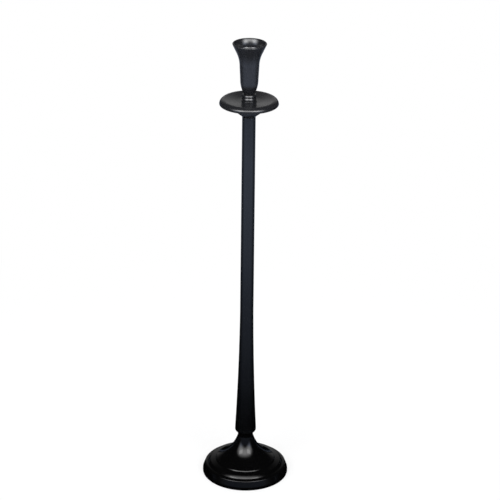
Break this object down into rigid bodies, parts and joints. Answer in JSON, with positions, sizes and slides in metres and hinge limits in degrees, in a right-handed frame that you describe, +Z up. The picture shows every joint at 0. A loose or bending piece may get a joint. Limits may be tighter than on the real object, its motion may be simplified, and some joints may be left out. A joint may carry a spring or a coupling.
{
  "type": "candle holder",
  "caption": "Tall slim black candlestick: weighted bell base, tapered tube stem, dished drip pan with a rolled rim, ringed collar and a flared screw-on cup for a dinner candle.",
  "frame": {"origin": "centre of the base, on the floor", "axes": "+Z up along the stem; -Y faces the viewer of the picture; the object is round about Z"},
  "size_m": [0.1316, 0.1316, 0.7],
  "materials": {
    "satin_black": "satin black paint with a slight blue cast",
    "gloss_black": "glossier black paint on the base",
    "zinc_steel": "zinc-plated fasteners",
    "raw_iron": "unpainted casting",
    "felt": "dense dark felt",
    "fibre": "vulcanised fibre"
  },
  "bodies": {
    "stand": {"felt_pad": "felt", "base_bell": "gloss_black", "base_weight": "raw_iron", "base_washer": "zinc_steel", "lock_washer": "zinc_steel", "base_nut": "zinc_steel", "tie_rod": "zinc_steel", "stem_foot": "satin_black", "stem_tube": "satin_black", "pan_seat": "satin_black", "drip_pan": "satin_black", "neck_collar": "satin_black", "stack_nut": "zinc_steel"},
    "washer": {"cup_washer": "fibre"},
    "cup": {"candle_cup": "satin_black"}
  },
  "joints": [
    {"name": "cup_rise", "type": "slide", "parent": "stand", "child": "washer", "axis": [0, 0, 1], "range_m": [0, 0.0115]},
    {"name": "cup_turn", "type": "hinge", "parent": "washer", "child": "cup", "pos_m": [0, 0, 0.63], "axis": [0, 0, 1], "range_deg": [0, 4140]}
  ],
  "couplings": [
    {"joint": "cup_rise", "follows": "cup_turn", "m_per_rad": 0.00015915}
  ]
}
